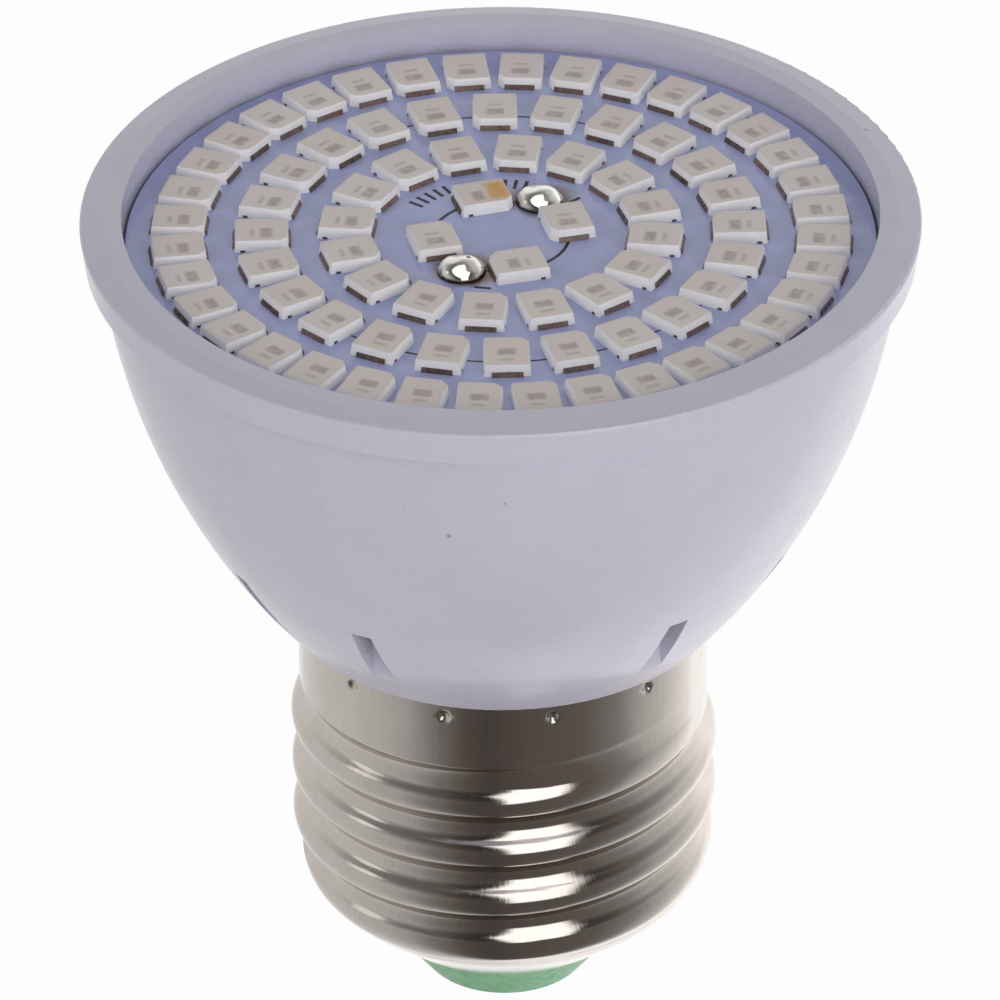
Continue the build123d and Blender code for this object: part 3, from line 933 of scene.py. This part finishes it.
@dataclass
class Diodes:
    """Rings of diodes: housings, cloudy fillings, and end terminals with their solder.

    Lengths are millimetres. The fillet's points are shares of the terminal's reach and rise.
    """

    length: float = 3.26
    width: float = 2.76
    height: float = 0.75
    draft: float = 0.09
    frame_width: float = 0.22
    window_depth: float = 0.3
    corner: float = 0.45
    edge: float = 0.05
    edge_segments: int = 2
    edge_profile: float = 0.5
    sharp: float = 50.0
    level_from: float = 0.9
    terminal_width: float = 1.84
    terminal_rise: float = 0.29
    terminal_reach: float = 0.12
    terminal_inset: float = 0.3
    fillet: tuple[Pair, ...] = ((1.0, 0.0), (0.8, 0.35), (0.35, 0.7), (0.2, 1.0))
    chip_slide: float = 0.38
    turn_jitter: float = 1.2
    seed: int = 4
    board_top: float = field(init=False)

    def __post_init__(self) -> None:
        """Take the board's height from the frame."""
        self.board_top = frame_top("led_board") / MM

    def outline(self, inset: float, height: float) -> list[Vector]:
        """Give the corners of the housing at a height, with one cut off, or of its pocket.

        Args:
            inset: How far inside the housing's outside.
            height: Height over the board.

        Returns:
            The corners in order.
        """
        lean = inset + self.draft * height / self.height
        x = self.length / 2 - lean
        y = self.width / 2 - lean
        cut = self.corner
        return [Vector((a, b, height)) for a, b in ((-x, -y), (x, -y), (x, y), (cut - x, y), (-x, y - cut))]

    def stacked(self, levels: list[Pair]) -> Shape:
        """Stack outlines into a closed shape.

        Args:
            levels: Inset and height of each outline, in order over the surface.

        Returns:
            The shape.
        """
        points = [point for inset, height in levels for point in self.outline(inset, height)]
        count = len(points) // len(levels)
        ends = [tuple(reversed(range(count))), tuple(range(len(points) - count, len(points)))]
        return points, grid_faces(len(levels), count, closed=False) + ends

    def housing(self) -> bpy.types.Mesh:
        """Make one housing with its pocket and rounded outer edges.

        Returns:
            The housing, in its own frame.
        """
        levels = [(0.0, 0.0), (0.0, self.height), (self.frame_width, self.height)]
        shape = self.stacked(levels + [(self.frame_width, self.height - self.window_depth)])
        count = len(self.outline(0.0, 0.0))

        def round_edges(work: bmesh.types.BMesh) -> None:
            """Round the upright outer edges and those round the top.

            Args:
                work: The open mesh.
            """
            rounded = []
            for edge in work.edges:
                ends = [vert.index for vert in edge.verts]
                if max(ends) < 2 * count and max(ends) >= count:
                    rounded.append(edge)
            bmesh.ops.bevel(
                work, geom=rounded, offset=self.edge * MM, segments=self.edge_segments,
                profile=self.edge_profile, affect="EDGES",
            )

        return self.mapped(mesh_of("one_housing", shape, self.sharp, round_edges))

    def window(self) -> bpy.types.Mesh:
        """Make the filling of one housing, flush with its top.

        Returns:
            The filling, in its own frame.
        """
        levels = [(self.frame_width, self.height - self.window_depth), (self.frame_width, self.height)]
        return self.mapped(mesh_of("one_window", self.stacked(levels)))

    def terminals(self) -> bpy.types.Mesh:
        """Make the two terminals: an upright tab in each end, and the solder that runs down to the board.

        Returns:
            Both terminals, in the housing's frame.
        """
        tip = self.length / 2
        section = [(tip - self.terminal_inset, 0.0)]
        section += [(tip + self.terminal_reach * out, self.terminal_rise * up) for out, up in self.fillet]
        section += [(tip - self.terminal_inset, self.terminal_rise)]
        count = len(section)
        half = self.terminal_width / 2
        ends = [tuple(range(count)), tuple(range(count, 2 * count))]
        shapes = []
        for way in (1, -1):
            points = [Vector((way * x, y, z)) for y in (-half, half) for x, z in section]
            shapes.append((points, grid_faces(2, count, closed=False) + ends))
        return self.mapped(mesh_of("one_terminal_pair", joined(shapes)))

    def mapped(self, mesh: bpy.types.Mesh) -> bpy.types.Mesh:
        """Give a part its own flat map, from 0 to 1 over the housing's length and width.

        Args:
            mesh: The part.

        Returns:
            The same part.
        """
        layer = mesh.uv_layers.new(name="UVMap")
        for loop in mesh.loops:
            place = mesh.vertices[loop.vertex_index].co
            along = place.x / (self.length * MM) + 0.5
            layer.data[loop.index].uv = (along, place.y / (self.width * MM) + 0.5)
        return mesh

    def ring_tree(self) -> bpy.types.NodeTree:
        """Build the tree that sets parts round a ring.

        Returns:
            A tree with named inputs for the ring's sizes, its part and its two finishes.
        """
        group = bpy.data.node_groups.new("ring of parts", "GeometryNodeTree")
        kinds = {
            "Object": ("Part",),
            "Int": ("Count", "Reversed from", "Seed"),
            "Float": ("Radius", "Height", "Phase", "Own turn", "Jitter", "Slide"),
            "Material": ("Finish", "Top finish"),
        }
        for kind, names in kinds.items():
            for name in names:
                group.interface.new_socket(name=name, in_out="INPUT", socket_type=f"NodeSocket{kind}")
        group.interface.new_socket(name="Geometry", in_out="OUTPUT", socket_type="NodeSocketGeometry")
        tree = Tree(group)
        given = tree.add("NodeGroupInput").outputs
        index = tree.add("GeometryNodeInputIndex").outputs[0]
        spacing = tree.math("DIVIDE", 2 * math.pi, given["Count"])
        turn = tree.plus(given["Phase"], tree.times(index, spacing))
        x = tree.times(given["Radius"], tree.math("SINE", turn))
        y = tree.times(given["Radius"], tree.times(tree.math("COSINE", turn), -1.0))
        place = tree.add("ShaderNodeCombineXYZ", {"X": x, "Y": y, "Z": given["Height"]}).outputs[0]
        points = tree.add("GeometryNodePoints", {"Count": given["Count"], "Position": place}).outputs[0]
        slack = self.chance(tree, tree.times(given["Jitter"], -1.0), given["Jitter"], index, given["Seed"])
        spin = tree.minus(tree.plus(tree.plus(turn, given["Own turn"]), slack), math.pi / 2)
        rotation = tree.add("ShaderNodeCombineXYZ", {"Z": spin}).outputs[0]
        part = tree.add("GeometryNodeObjectInfo", {"Object": given["Part"]}).outputs["Geometry"]
        setting = {"Points": points, "Instance": part, "Rotation": rotation}
        placed = tree.add("GeometryNodeInstanceOnPoints", setting).outputs[0]
        tone = self.chance(tree, 0.0, 1.0, index, given["Seed"])
        toned = self.stored(tree, placed, "tone", tone, "FLOAT")
        slide_u = tree.times(tree.math("SINE", spin), tree.math("DIVIDE", given["Slide"], self.length))
        slide_v = tree.times(tree.math("COSINE", spin), tree.math("DIVIDE", given["Slide"], self.width))
        late = tree.math("LESS_THAN", tree.minus(given["Reversed from"], 0.5), index)
        marks = tree.add("ShaderNodeCombineXYZ", {"X": slide_u, "Y": slide_v, "Z": late}).outputs[0]
        marked = self.stored(tree, toned, "marks", marks, "FLOAT_VECTOR")
        solid = tree.add("GeometryNodeRealizeInstances", {"Geometry": marked}).outputs[0]
        dressing = {"Geometry": solid, "Material": given["Finish"]}
        sides = tree.add("GeometryNodeSetMaterial", dressing).outputs[0]
        _, _, up = tree.split(tree.add("GeometryNodeInputNormal").outputs[0])
        level = tree.add(
            "FunctionNodeCompare", {0: up, 1: self.level_from}, data_type="FLOAT", operation="GREATER_THAN"
        ).outputs[0]
        topping = {"Geometry": sides, "Selection": level, "Material": given["Top finish"]}
        tree.add("NodeGroupOutput", {"Geometry": tree.add("GeometryNodeSetMaterial", topping).outputs[0]})
        return group

    def chance(self, tree: Tree, low: Value, high: Value, index: Socket, seed: Socket) -> Socket:
        """Draw a number between two others for each diode."""
        inputs = {2: low, 3: high, "ID": index, "Seed": seed}
        return tree.add("FunctionNodeRandomValue", inputs, data_type="FLOAT").outputs[1]

    def stored(self, tree: Tree, geometry: Socket, name: str, value: Socket, kind: str) -> Socket:
        """Store a value of each diode under a name.

        Args:
            tree: The tree that sets the ring out.
            geometry: The placed parts.
            name: Name of the attribute.
            value: Its value.
            kind: Blender's name of its type.

        Returns:
            The parts with the value.
        """
        inputs = {"Geometry": geometry, "Name": name, "Value": value}
        kept = tree.add("GeometryNodeStoreNamedAttribute", inputs, data_type=kind, domain="INSTANCE")
        return kept.outputs[0]

    def set_ring(
        self,
        name: str,
        ring: RingPlan,
        part: bpy.types.Mesh,
        finishes: tuple[bpy.types.Material, bpy.types.Material],
        tree: bpy.types.NodeTree,
    ) -> bpy.types.Mesh:
        """Set a part round a ring and give the plain mesh.

        Args:
            name: Name of the mesh.
            ring: The ring.
            part: The part, in its own frame.
            finishes: Finish of the part, and of its level top faces.
            tree: The tree that sets it out.

        Returns:
            The realised mesh, in place.
        """
        pattern = bpy.data.objects.new("pattern", part)
        holder = bpy.data.objects.new("holder", bpy.data.meshes.new("holder"))
        for thing in (pattern, holder):
            bpy.context.scene.collection.objects.link(thing)
        values = {
            "Part": pattern,
            "Count": ring.count,
            "Radius": ring.radius * MM,
            "Height": self.board_top * MM,
            "Phase": math.radians(ring.phase),
            "Own turn": math.radians(ring.own_turn),
            "Jitter": math.radians(self.turn_jitter),
            "Slide": self.chip_slide,
            "Reversed from": ring.reversed_from,
            "Seed": self.seed + ring.count,
            "Finish": finishes[0],
            "Top finish": finishes[1],
        }
        modifier = holder.modifiers.new("ring", "NODES")
        modifier.node_group = tree
        items = tree.interface.items_tree
        sockets = {item.name: item.identifier for item in items if item.in_out == "INPUT"}
        for key, value in values.items():
            modifier[sockets[key]] = value
        holder.update_tag()
        graph = bpy.context.evaluated_depsgraph_get()
        graph.update()
        mesh = bpy.data.meshes.new_from_object(holder.evaluated_get(graph), depsgraph=graph)
        mesh.name = name
        holder.modifiers.remove(modifier)
        for thing in (pattern, holder):
            bpy.data.objects.remove(thing)
        return mesh

    def build(self, sides: Finish, tops: Finish, scorched: Finish, terminals: Finish) -> None:
        """Make every ring's housings, fillings and terminals.

        Args:
            sides: Finish of the housings.
            tops: Finish of the cloudy tops.
            scorched: Finish of the middle diodes' tops.
            terminals: Finish of the terminals.
        """
        tree = self.ring_tree()
        housing, window, terminal_pair = self.housing(), self.window(), self.terminals()
        side, top, middle_top, metal = (finish.build() for finish in (sides, tops, scorched, terminals))
        for ring in Ring:
            own_top = middle_top if ring is Ring.CENTRE else top
            parts = {
                "housings": (housing, (side, own_top), "led_housing_white"),
                "windows": (window, (own_top, own_top), "led_window_beige"),
                "terminals": (terminal_pair, (metal, metal), "led_terminal_metal"),
            }
            for part, (mesh, finishes, slot) in parts.items():
                name = f"{part}_{ring.value.label}"
                made = self.set_ring(f"diode_{name}", ring.value, mesh, finishes, tree)
                add_piece(f"diode_{name}", made, slot, f"led_{name}")


@dataclass
class SolderJoints:
    """Two domed joints with soft flats on them.

    Sizes are shares of the dome's own, and rises are radians.
    """

    rings: int = 26
    columns: int = 64
    flats: int = 7
    flat_depth: float = 0.09
    depth_share: Pair = (0.6, 1.0)
    turn_jitter: float = 0.35
    rise: Pair = (0.3, 1.2)
    softness: float = 0.035
    foot: float = 0.2
    seed: int = 9

    def direction(self, turn: float, rise: float) -> Vector:
        """Give the direction at a turn and a rise in radians."""
        return Vector((math.cos(turn) * math.cos(rise), math.sin(turn) * math.cos(rise), math.sin(rise)))

    def dome(self, node: str) -> list[Vector]:
        """Give the points of one dome, ring by ring from its foot, and its top.

        Args:
            node: The node that the dome stands for.

        Returns:
            The points in millimetres.
        """
        low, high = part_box(node)
        centre = Vector((*middle_mm(node), low.z / MM))
        size = Vector(((high.x - low.x) / 2, (high.y - low.y) / 2, high.z - low.z)) / MM
        chance = random.Random(self.seed + len(node))
        planes = []
        for number in range(self.flats):
            turn = 2 * math.pi * (number + chance.uniform(-self.turn_jitter, self.turn_jitter)) / self.flats
            normal = self.direction(turn, chance.uniform(*self.rise))
            planes.append((normal, 1 - self.flat_depth * chance.uniform(*self.depth_share)))
        points = []
        for i in range(self.rings):
            for j in range(self.columns):
                point = self.direction(2 * math.pi * j / self.columns, i / self.rings * math.pi / 2)
                points.append(centre + self.flattened(point, planes) * size)
        return points + [Vector((centre.x, centre.y, high.z / MM))]

    def flattened(self, point: Vector, planes: list[tuple[Vector, float]]) -> Vector:
        """Pull a point of the round dome in to the flats that cut it.

        Args:
            point: Point of a dome of unit size.
            planes: Direction and distance of each flat.

        Returns:
            The point, moved towards the dome's middle where a flat cuts it off.
        """
        share = 1.0
        for normal, distance in planes:
            over = point.dot(normal) - distance
            share -= (over + math.hypot(over, self.softness)) / 2 * smooth_step(point.z, 0.0, self.foot)
        return point * min(share + self.softness / 2, 1.0)

    def build(self, finish: Finish) -> None:
        """Make both joints.

        Args:
            finish: The solder.
        """
        material = finish.build()
        count = self.columns
        last = (self.rings - 1) * count
        top = last + count
        faces = grid_faces(self.rings, count, closed=False)
        faces += [(last + i, last + (i + 1) % count, top) for i in range(count)]
        faces.append(tuple(reversed(range(count))))
        for pole in POLES:
            node = f"solder_joint_{pole}"
            mesh = mesh_of(f"solder_dome_{pole}", (self.dome(node), faces))
            mesh.materials.append(material)
            add_piece(f"solder_dome_{pole}", mesh, "solder", node)


@dataclass
class BoardPrint:
    """Thin printed circles and plain marks on the ring board.

    Lengths are millimetres. A circle has its radius and the width of its line. A row of marks has its
    radius, the turn of its middle, the number of marks and each mark's own turn, in degrees.
    """

    thickness: float = 0.012
    circles: tuple[Pair, ...] = ((4.07, 0.2), (14.2, 0.13))
    columns: int = 240
    mark_length: float = 1.0
    mark_width: float = 0.22
    mark_rows: tuple[tuple[float, float, int, float], ...] = (
        (6.3, 222.0, 5, 0.0),
        (6.1, 171.5, 3, 0.0),
        (6.0, 133.0, 1, 0.0),
        (6.0, -10.4, 1, 90.0),
        (17.6, 22.0, 4, 0.0),
    )
    mark_spacing: float = 0.62

    def ring(self, radius: float, line: float, level: float) -> Shape:
        """Give one printed circle.

        Args:
            radius: Radius of the line's middle.
            line: Width of the line.
            level: Height of the board's top.

        Returns:
            The circle.
        """
        half = line / 2
        section = [(-half, 0.0), (half, 0.0), (half, self.thickness), (-half, self.thickness)]
        points = []
        for across, up in section:
            for i in range(self.columns):
                angle = 2 * math.pi * i / self.columns
                reach = radius + across
                points.append(Vector((reach * math.cos(angle), reach * math.sin(angle), level + up)))
        return points, grid_faces(len(section), self.columns)

    def bar(self, centre: Vector, turn: float) -> Shape:
        """Give one short printed bar.

        Args:
            centre: Middle of its foot.
            turn: Its turn in degrees.

        Returns:
            The bar.
        """
        turned = Matrix.Rotation(math.radians(turn), 3, "Z")
        x = self.mark_width / 2
        y = self.mark_length / 2
        corners = [(-x, -y), (x, -y), (x, y), (-x, y)]
        points = [centre + turned @ Vector((a, b, z)) for z in (0.0, self.thickness) for a, b in corners]
        return points, grid_faces(2, len(corners), closed=False) + [(3, 2, 1, 0), (4, 5, 6, 7)]

    def build(self, finish: Finish) -> None:
        """Make the print as one piece.

        Args:
            finish: The ink.
        """
        level = frame_top("led_board") / MM
        shapes = [self.ring(radius, line, level) for radius, line in self.circles]
        for radius, turn, count, own_turn in self.mark_rows:
            for i in range(count):
                own = math.radians(turn) + (i - (count - 1) / 2) * self.mark_spacing / radius
                shapes.append(self.bar(round_axis(radius, own, level), math.degrees(own) + own_turn))
        mesh = mesh_of("board_print", joined(shapes))
        mesh.materials.append(finish.build())
        add_piece("board_print", mesh, "board_mask")


@dataclass(frozen=True)
class Lamp:
    """Soft lamp that faces the bulb.

    Attributes:
        name: Its name.
        turn: Degrees round the bulb, from the front towards +X.
        rise: Degrees above the bulb.
        size: Width and height in metres.
        watts: Power.
    """

    name: str
    turn: float
    rise: float
    size: Pair
    watts: float


@dataclass
class Studio:
    """Floor, surround, lamps and the camera of the photograph. Lengths are metres.

    Shiny faces see a room of their own: its brightness goes by the turn round the bulb, counted in degrees
    from the front towards +X, with one long soft strip that runs up over the camera and one small bright box
    at the left. Limits of the strip and the box are parts of a direction of unit length.
    """

    floor_half: float = 3.0
    floor_colour: Colour = (0.88, 0.88, 0.88)
    floor_white: float = 0.97
    ambient: float = 0.48
    room: tuple[Pair, ...] = (
        (-180, 1.05), (-150, 0.8), (-120, 0.72), (-106, 0.7), (-80, 0.62), (-56, 0.48), (-40, 0.25),
        (-22, 0.108), (-10, 0.083), (16, 0.12), (33, 0.135), (45, 0.14), (69, 0.27), (83, 0.5), (98, 0.66),
        (120, 1.0), (134, 1.28), (150, 1.2), (180, 1.05),
    )
    room_peak: float = 1.3
    room_fall: Pair = (0.34, 0.91)
    room_top_share: float = 0.25
    room_tint: Colour = (1.0, 0.86, 0.78)
    tint_reach: float = 0.35
    strip_turn: float = 15.0
    strip_left: Pair = (-0.27, -0.22)
    strip_right: Pair = (0.2, 0.34)
    strip_behind: Pair = (-0.15, -0.05)
    strip_foot: Pair = (0.05, 0.25)
    strip_level: float = 1.75
    side_box: Place = (-0.80, 0.05, 0.60)
    side_reach: Pair = (0.98, 0.995)
    side_level: float = 1.0
    lamps: tuple[Lamp, ...] = (
        Lamp("key_lamp", 36.0, 14.0, (0.42, 0.5), 1.35),
        Lamp("front_lamp", 0.0, 15.0, (0.6, 0.35), 0.6),
        Lamp("fill_lamp", -82.0, 28.0, (0.3, 0.3), 0.45),
    )
    lamps_away: float = 0.62
    aim: Place = (0.0, 0.0, 0.03)
    camera_away: float = 0.47747
    camera_rise: float = 30.705
    camera_pan: float = 0.0173
    camera_tilt: float = -2.0488
    camera_roll: float = 0.36
    camera_height: float = 0.05435
    camera_reach: Pair = (0.01, 20.0)
    lens: float = 289.58
    sensor: float = 36.0

    def floor(self) -> None:
        """Lay a pale floor that the camera sees as white, with the bulb's shadow faint on it."""
        half = self.floor_half
        corners = [(-half, -half, 0), (half, -half, 0), (half, half, 0), (-half, half, 0)]
        mesh = bpy.data.meshes.new("floor")
        mesh.from_pydata(corners, [], [(0, 1, 2, 3)])
        floor = bpy.data.objects.new("floor", mesh)
        bpy.context.scene.collection.objects.link(floor)
        floor.visible_glossy = False
        material = bpy.data.materials.new("floor_white")
        tree = fresh_tree(material)
        rays = tree.add("ShaderNodeLightPath").outputs
        matt = tree.add("ShaderNodeBsdfDiffuse", {"Color": (*self.floor_colour, 1.0)}).outputs[0]
        white = tree.add("ShaderNodeEmission", {"Strength": 1.0}).outputs[0]
        seen = tree.add("ShaderNodeMixShader", {0: self.floor_white, 1: matt, 2: white}).outputs[0]
        both = tree.add("ShaderNodeMixShader", {0: rays["Is Camera Ray"], 1: matt, 2: seen}).outputs[0]
        tree.add("ShaderNodeOutputMaterial", {"Surface": both})
        mesh.materials.append(material)

    def walls(self, tree: Tree, x: Socket, y: Socket, z: Socket) -> Socket:
        """Shade the room's walls.

        Args:
            tree: The surround's tree.
            x: First part of the direction.
            y: Second part.
            z: Third part.

        Returns:
            The walls' level.
        """
        turn = tree.math("ARCTAN2", x, tree.times(y, -1.0))
        share = tree.plus(tree.math("DIVIDE", turn, 2 * math.pi), 0.5)
        ramp = tree.add("ShaderNodeValToRGB", {"Fac": share})
        stops = ramp.color_ramp.elements
        while len(stops) < len(self.room):
            stops.new(0.5)
        for stop, (degrees, level) in zip(stops, self.room):
            stop.position = degrees / 360 + 0.5
            stop.color = (*[level / self.room_peak] * 3, 1.0)
        around = tree.times(ramp.outputs[0], self.room_peak)
        return tree.times(around, tree.ramp(z, *self.room_fall, 1.0, self.room_top_share))

    def strip(self, tree: Tree, x: Socket, y: Socket, z: Socket) -> Socket:
        """Light the long soft strip.

        Args:
            tree: The surround's tree.
            x: First part of the direction.
            y: Second part.
            z: Third part.

        Returns:
            The strip's level.
        """
        sine = math.sin(math.radians(self.strip_turn))
        cosine = math.cos(math.radians(self.strip_turn))
        across = tree.plus(tree.times(x, cosine), tree.times(y, sine))
        ahead = tree.minus(tree.times(x, sine), tree.times(y, cosine))
        left = tree.ramp(across, *self.strip_left)
        right = tree.ramp(across, *self.strip_right, 1.0, 0.0)
        front = tree.ramp(ahead, *self.strip_behind)
        return tree.times(left, right, front, tree.ramp(z, *self.strip_foot, 0.0, self.strip_level))

    def mirrored_room(self, tree: Tree) -> Socket:
        """Build the colours of the room that shiny faces see.

        Args:
            tree: The surround's tree.

        Returns:
            The colour for each direction.
        """
        x, y, z = tree.split(tree.add("ShaderNodeTexCoord").outputs["Generated"])
        direction = tree.add("ShaderNodeCombineXYZ", {"X": x, "Y": y, "Z": z}).outputs[0]
        pointed = {0: direction, 1: self.side_box}
        facing = tree.add("ShaderNodeVectorMath", pointed, operation="DOT_PRODUCT").outputs["Value"]
        side = tree.ramp(facing, *self.side_reach, 0.0, self.side_level)
        lights = tree.math("MAXIMUM", self.strip(tree, x, y, z), side)
        level = tree.math("MAXIMUM", self.walls(tree, x, y, z), lights)
        tint = tree.mix(tree.ramp(level, 0.0, self.tint_reach), self.room_tint, WHITE)
        return tree.add("ShaderNodeVectorMath", {0: tint, "Scale": level}, operation="SCALE").outputs[0]

    def surround(self) -> None:
        """Light the bulb evenly, and let shiny faces see the room."""
        world = bpy.data.worlds.new("surround")
        bpy.context.scene.world = world
        tree = fresh_tree(world)
        rays = tree.add("ShaderNodeLightPath").outputs
        plain = tree.add("ShaderNodeBackground", {"Strength": self.ambient}).outputs[0]
        mirrored = tree.add("ShaderNodeBackground", {"Color": self.mirrored_room(tree)}).outputs[0]
        white = tree.add("ShaderNodeBackground", {"Strength": 1.0}).outputs[0]
        shown = plain
        for ray, other in (("Is Glossy Ray", mirrored), ("Is Camera Ray", white)):
            shown = tree.add("ShaderNodeMixShader", {0: rays[ray], 1: shown, 2: other}).outputs[0]
        tree.add("ShaderNodeOutputWorld", {"Surface": shown})

    def hang(self, plan: Lamp) -> None:
        """Hang a lamp so that it faces the bulb.

        Args:
            plan: The lamp.
        """
        light = bpy.data.lights.new(plan.name, "AREA")
        light.shape = "RECTANGLE"
        light.size, light.size_y = plan.size
        light.energy = plan.watts
        lamp = bpy.data.objects.new(plan.name, light)
        lamp.visible_glossy = False
        bpy.context.scene.collection.objects.link(lamp)
        turn = math.radians(plan.turn)
        rise = math.radians(plan.rise)
        back = round_axis(math.cos(rise), turn, math.sin(rise))
        lamp.location = Vector(self.aim) + back * self.lamps_away
        lamp.rotation_euler = back.to_track_quat("Z", "Y").to_euler()

    def camera(self) -> None:
        """Set the camera where the photograph was taken from."""
        rise = math.radians(self.camera_rise)
        back = Vector((0.0, -math.cos(rise), math.sin(rise)))
        up = Vector((0.0, math.sin(rise), math.cos(rise)))
        right = Vector((1.0, 0.0, 0.0))
        ahead = -back
        pan = Matrix.Rotation(math.radians(self.camera_pan), 3, up)
        ahead, right = pan @ ahead, pan @ right
        tilt = Matrix.Rotation(math.radians(self.camera_tilt), 3, right)
        ahead, up = tilt @ ahead, tilt @ up
        roll = Matrix.Rotation(math.radians(self.camera_roll), 3, ahead)
        right, up = roll @ right, roll @ up
        data = bpy.data.cameras.new("photo_camera")
        data.lens = self.lens
        data.sensor_width = self.sensor
        data.clip_start, data.clip_end = self.camera_reach
        camera = bpy.data.objects.new("photo_camera", data)
        bpy.context.scene.collection.objects.link(camera)
        turned = Matrix((right, up, -ahead)).transposed().to_4x4()
        place = Vector((0.0, 0.0, self.camera_height)) + back * self.camera_away
        camera.matrix_world = Matrix.Translation(place) @ turned
        bpy.context.scene.camera = camera

    def build(self) -> None:
        """Set the whole studio."""
        self.floor()
        self.surround()
        for plan in self.lamps:
            self.hang(plan)
        self.camera()
        bpy.context.scene.view_settings.view_transform = "Standard"


@dataclass(frozen=True)
class Palette:
    """The bulb's finishes."""

    cup: Finish = CupPlastic(
        "cup_plastic_white", (0.63, 0.61, 0.72), (0.61, 0.59, 0.70), 0.26, coat=0.2, grain_per_mm=0.25,
        grain_depth=0.03, bump_mm=0.0,
    )
    nickel: Finish = DrawnMetal(
        "nickel_plate", (0.67, 0.615, 0.57), (0.60, 0.55, 0.505), 0.09, 1.0, grain_per_mm=0.5,
        grain_depth=0.02, bump_mm=0.001,
    )
    green: Finish = Finish("green_insulator", (0.11, 0.47, 0.18), (0.10, 0.44, 0.165), 0.35, bump_mm=0.0)
    contact: Finish = DrawnMetal("contact_plate", (0.70, 0.67, 0.62), (0.60, 0.56, 0.50), 0.28, 1.0)
    mask: BoardMask = BoardMask(
        "solder_mask", (0.405, 0.44, 0.74), (0.38, 0.41, 0.70), 0.2, coat=0.3, grain_per_mm=0.4, bump_mm=0.0
    )
    side: Finish = MouldedSide(
        "diode_white", (0.96, 0.945, 0.95), (0.92, 0.90, 0.90), 0.42, grain_per_mm=1.5
    )
    top: Finish = FrostedTop(
        "diode_cloudy_top", (0.80, 0.73, 0.705), (0.75, 0.675, 0.645), 0.5, grain_per_mm=3.0, bump_mm=0.001
    )
    scorched: Finish = ScorchedTop(
        "diode_scorched_top", (0.80, 0.73, 0.705), (0.75, 0.675, 0.645), 0.5, grain_per_mm=3.0, bump_mm=0.001
    )
    terminal: Finish = TinnedLead(
        "terminal_tin", (0.30, 0.205, 0.18), (0.06, 0.05, 0.045), 0.35, 0.4, grain_per_mm=3.0
    )
    solder: Solder = Solder(
        "bright_solder", (0.80, 0.78, 0.75), (0.66, 0.63, 0.59), 0.1, 1.0, grain_per_mm=0.8,
        grain_depth=0.03, bump_mm=0.0,
    )
    ink: Finish = Finish("black_ink", (0.012, 0.012, 0.02), (0.03, 0.03, 0.045), 0.5)


def hidden_finishes() -> dict[str, Finish]:
    """Give the finishes of what shows only when the bulb is opened.

    Returns:
        The finish of each node.
    """
    red = Finish("red_sleeving", (0.42, 0.02, 0.015), (0.35, 0.015, 0.012), 0.45)
    black = Finish("black_sleeving", (0.02, 0.02, 0.02), (0.035, 0.035, 0.035), 0.45)
    return {
        "led_wire_positive": red,
        "led_wire_negative": black,
        "shell_wire": black,
        "contact_wire": red,
        "driver_board": Finish("paper_laminate", (0.30, 0.17, 0.06), (0.25, 0.13, 0.04), 0.5),
        "film_capacitor": Finish("dipped_film", (0.30, 0.03, 0.015), (0.24, 0.02, 0.01), 0.25),
        "bridge_rectifier": Finish("moulded_black", (0.02, 0.02, 0.02), (0.03, 0.03, 0.03), 0.55),
        "smoothing_capacitor": Finish("shrunk_sleeve", (0.012, 0.015, 0.05), (0.02, 0.022, 0.06), 0.3),
        "dropper_resistors": Finish("cement_body", (0.48, 0.33, 0.15), (0.40, 0.27, 0.12), 0.5),
    }


def main() -> None:
    """Build every sub-assembly in order."""
    logging.basicConfig(level=logging.INFO, format="%(message)s")
    palette = Palette()
    joints = tuple(middle_mm(f"solder_joint_{pole}") for pole in POLES)
    paint_node("cup_housing", palette.cup)
    paint_node("contact_insulator", palette.green)
    paint_node("centre_contact", palette.contact)
    paint_node("led_board", replace(palette.mask, joints_mm=joints))
    for node, finish in hidden_finishes().items():
        paint_node(node, finish)
    ScrewShell().build(palette.nickel)
    Diodes().build(palette.side, palette.top, palette.scorched, palette.terminal)
    SolderJoints().build(replace(palette.solder, pit_shade_places_mm=joints[:1]))
    BoardPrint().build(palette.ink)
    Studio().build()


if __name__ == "__main__":
    main()
